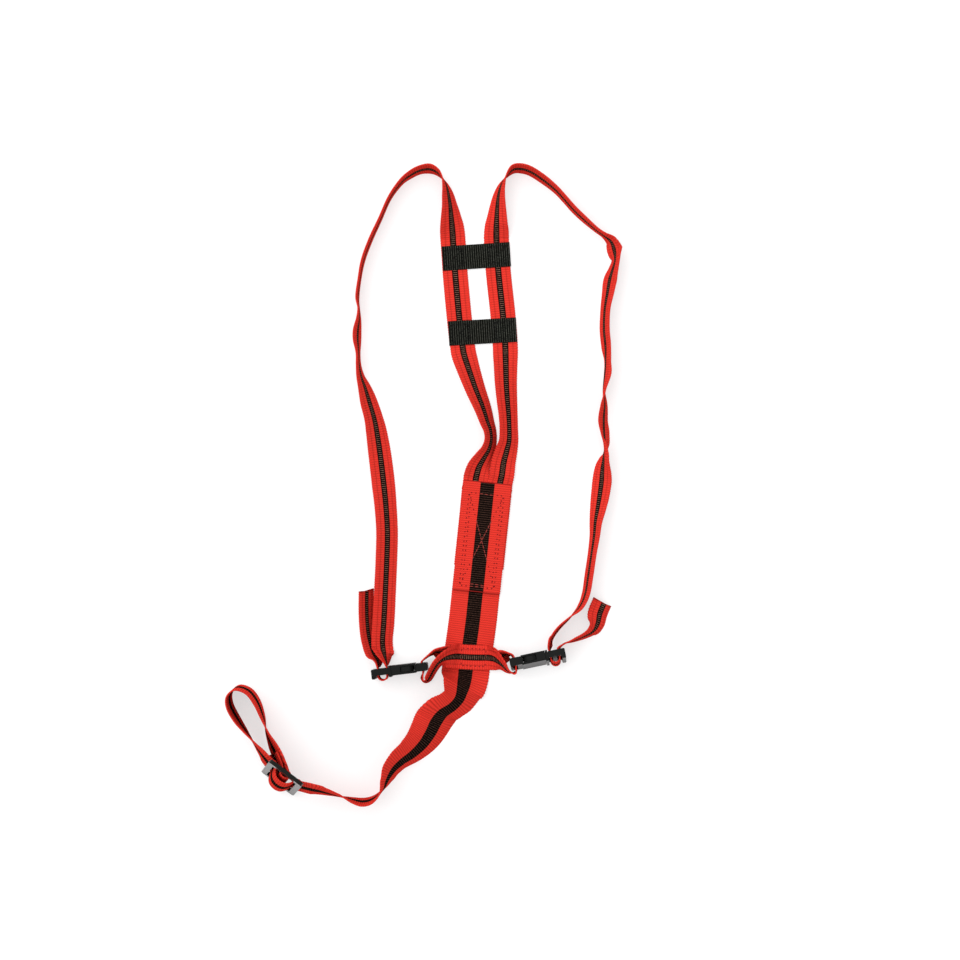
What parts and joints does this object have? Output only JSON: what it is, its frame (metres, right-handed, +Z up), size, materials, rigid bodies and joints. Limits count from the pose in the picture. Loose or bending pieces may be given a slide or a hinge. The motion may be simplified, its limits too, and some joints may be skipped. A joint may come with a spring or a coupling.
{
  "type": "safety harness",
  "caption": "Small webbing safety harness: two shoulder loops joined by bridges and a stitched yoke, a waist belt, two side-release buckles and a back strap with an adjuster.",
  "frame": {"origin": "middle of the yoke, on the flat surface that the harness is laid on, at the underside of the back strap", "axes": "+Z up from the surface, +Y from the yoke towards the shoulder loops, +X to the right seen from above; the harness lies on its back"},
  "size_m": [0.39, 0.6325, 0.0594],
  "materials": {
    "wide_webbing": "ribbed red webbing with a woven black centre stripe",
    "narrow_webbing": "red webbing with a black and white woven centre stripe",
    "black_webbing": "ribbed black webbing",
    "bridge_thread": "black thread",
    "red_thread": "dark red thread",
    "buckle_plastic": "satin black moulded plastic",
    "adjuster_plastic": "satin black moulded plastic"
  },
  "bodies": {
    "harness": {"back_strap": "wide_webbing", "yoke_cover_patch": "wide_webbing", "left_shoulder_strap": "narrow_webbing", "right_shoulder_strap": "narrow_webbing", "upper_bridge_strap": "black_webbing", "upper_bridge_stitching": "bridge_thread", "lower_bridge_strap": "black_webbing", "lower_bridge_stitching": "bridge_thread", "yoke_stitching": "red_thread", "waist_strap": "narrow_webbing", "waist_stitching": "red_thread", "left_buckle_socket": "buckle_plastic", "right_buckle_socket": "buckle_plastic"},
    "left_plug": {"left_buckle_plug": "buckle_plastic"},
    "left_upper_prong": {"left_upper_prong": "buckle_plastic"},
    "left_lower_prong": {"left_lower_prong": "buckle_plastic"},
    "right_plug": {"right_buckle_plug": "buckle_plastic"},
    "right_upper_prong": {"right_upper_prong": "buckle_plastic"},
    "right_lower_prong": {"right_lower_prong": "buckle_plastic"},
    "tri_glide": {"tri_glide": "adjuster_plastic", "end_loop_stitching": "red_thread"}
  },
  "joints": [
    {"name": "left_buckle_release", "type": "slide", "parent": "harness", "child": "left_plug", "axis": [-0.993, -0.1184, 0], "range_m": [0, 0.032], "deforming": ["left_shoulder_strap", "left_upper_prong", "left_lower_prong"]},
    {"name": "left_upper_prong_flex", "type": "hinge", "parent": "left_plug", "child": "left_upper_prong", "pos_m": [-0.08921, -0.13107, 0.0264], "axis": [-0.1181, 0.9905, -0.0698], "range_deg": [0, 10], "stiffness_Nm_per_rad": 0.2},
    {"name": "left_lower_prong_flex", "type": "hinge", "parent": "left_plug", "child": "left_lower_prong", "pos_m": [-0.08906, -0.13237, 0.00764], "axis": [0.1181, -0.9905, 0.0698], "range_deg": [0, 10], "stiffness_Nm_per_rad": 0.2},
    {"name": "right_buckle_release", "type": "slide", "parent": "harness", "child": "right_plug", "axis": [0.9789, 0.2045, 0], "range_m": [0, 0.032], "deforming": ["right_shoulder_strap", "right_upper_prong", "right_lower_prong"]},
    {"name": "right_upper_prong_flex", "type": "hinge", "parent": "right_plug", "child": "right_upper_prong", "pos_m": [0.06234, -0.11673, 0.02683], "axis": [0.1984, -0.9498, 0.2419], "range_deg": [0, 10], "stiffness_Nm_per_rad": 0.2},
    {"name": "right_lower_prong_flex", "type": "hinge", "parent": "right_plug", "child": "right_lower_prong", "pos_m": [0.06327, -0.12118, 0.00859], "axis": [-0.1984, 0.9498, -0.2419], "range_deg": [0, 10], "stiffness_Nm_per_rad": 0.2},
    {"name": "tri_glide_slide", "type": "slide", "parent": "harness", "child": "tri_glide", "axis": [0.7976, -0.6032, 0], "range_m": [0, 0.03], "deforming": ["back_strap"]}
  ],
  "couplings": [
    {"joint": "left_lower_prong_flex", "follows": "left_upper_prong_flex", "ratio": 1},
    {"joint": "right_lower_prong_flex", "follows": "right_upper_prong_flex", "ratio": 1}
  ]
}
